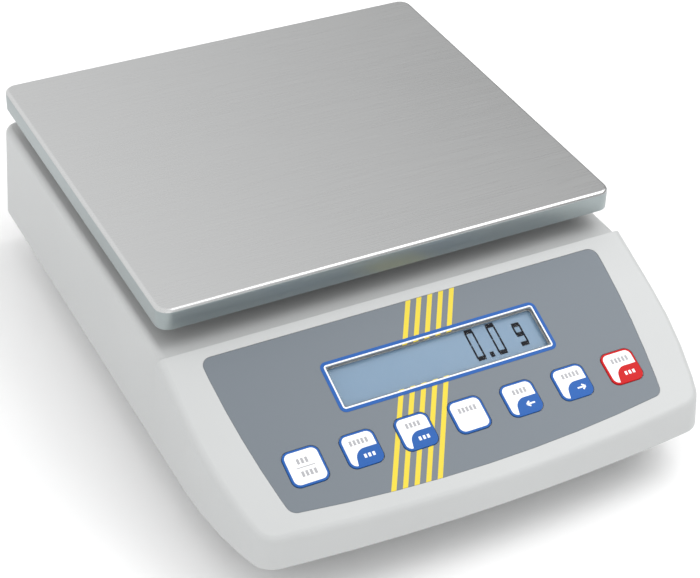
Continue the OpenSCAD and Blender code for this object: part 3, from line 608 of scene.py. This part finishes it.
def makeFloor():
    bm = bmesh.new()
    bmesh.ops.create_grid(bm, x_segments=1, y_segments=1, size=15.0)
    floor = keepMesh(bm, "studioFloor", None,
                     [mouldedPlastic("paleFloor", (0.9, 0.9, 0.9), 0.8, drift=0.002)])


lamps = {"softRight": {"place": (0.9, -0.2, 1.3), "target": (0, 0, 0), "size": (1.2, 1.2), "power": 13},
         "softFront": {"place": (-0.2, -1.4, 0.5), "target": (0, 0, 0.05), "size": (1.2, 0.6), "power": 1}}


def addLamp(name, place, target, size, power):
    lamp = bpy.data.lights.new(name, "AREA")
    lamp.shape = "RECTANGLE"
    lamp.size, lamp.size_y = size
    lamp.energy = power
    obj = bpy.data.objects.new(name, lamp)
    bpy.context.collection.objects.link(obj)
    obj.location = place
    obj.rotation_euler = (Vector(target) - Vector(place)).to_track_quat("-Z", "Y").to_euler()


# Soft room light: dimmer on the right, near the horizon
room = {"towards": (-0.8, 0.0, 0.6), "span": (-0.22, 0.19), "dim": 0.33, "bright": 1.20}


def makeLights():
    world = bpy.data.worlds.new("softRoom")
    world.use_nodes = True
    tree = world.node_tree
    coords = tree.nodes.new("ShaderNodeTexCoord")
    across = tree.nodes.new("ShaderNodeVectorMath")
    across.operation = "DOT_PRODUCT"
    across.inputs[1].default_value = room["towards"]
    tree.links.new(coords.outputs["Generated"], across.inputs[0])
    strength = remap(tree, across.outputs["Value"], *room["span"], room["dim"], room["bright"])
    tree.links.new(strength, tree.nodes["Background"].inputs["Strength"])
    tree.nodes["Background"].inputs["Color"].default_value = (1, 1, 1, 1)
    bpy.context.scene.world = world
    for name, lamp in lamps.items():
        addLamp(name, **lamp)


view = {"azimuth": -28.06, "elevation": 36.6, "roll": 2.0, "distance": 0.91322,
        "target": (-0.03639, -0.08102, 0.106), "lens": 98.132, "sensor": 36}


def makeCamera():
    az, el, roll = (math.radians(view[k]) for k in ("azimuth", "elevation", "roll"))
    back = Vector((math.sin(az) * math.cos(el), -math.cos(az) * math.cos(el), math.sin(el)))
    right = (-back).cross(Vector((0, 0, 1))).normalized()
    up = right.cross(-back)
    camRight = right * math.cos(roll) + up * math.sin(roll)
    camUp = up * math.cos(roll) - right * math.sin(roll)
    data = bpy.data.cameras.new("camera")
    data.lens = view["lens"]
    data.sensor_width = view["sensor"]
    cam = bpy.data.objects.new("camera", data)
    bpy.context.collection.objects.link(cam)
    place = Vector(view["target"]) + back * view["distance"]
    turn = Matrix((camRight, camUp, back)).transposed().to_4x4()
    cam.matrix_world = Matrix.Translation(place) @ turn
    bpy.context.scene.camera = cam


finishes = makeFinishes()
inks = makeInks()
coatEverything(finishes)
print("finishes on the CAD nodes")

makePan(finishes)
smoothCopy("upper_housing", "upperShell", "housing", finishes["housing_plastic"])
smoothCopy("lower_housing", "lowerShell", "housing", finishes["housing_plastic"])
smoothCopy("pan_buffers", "panBuffers", "pan_carrier", finishes["black_rubber"],
           softEdges["rubber"])
smoothCopy("pan_support", "panSupport", "pan_carrier", finishes["cast_alloy"],
           softEdges["casting"])
makeLoadCell(finishes)
smoothCopy("battery_cover", "batteryCover", "battery_cover",
           finishes["housing_plastic"], softEdges["cover"])
for corner in ("front_left", "front_right", "rear_left", "rear_right"):
    smoothCopy("foot_screw_" + corner, "footScrew_" + corner, "foot_screw_" + corner,
               finishes["foot_plastic"], softEdges["knob"])
    smoothCopy("foot_sole_" + corner, "footSole_" + corner, "foot_sole_" + corner,
               finishes["black_rubber"], softEdges["sole"])
print("pan, shells, support and feet")

makeDisplay(inks)
makeDigits(inks)
makeKeys(finishes, inks)
print("display and keys")

makeFloor()
makeLights()
makeCamera()
bpy.context.scene.view_settings.view_transform = "Standard"
print("stage, lights and camera")
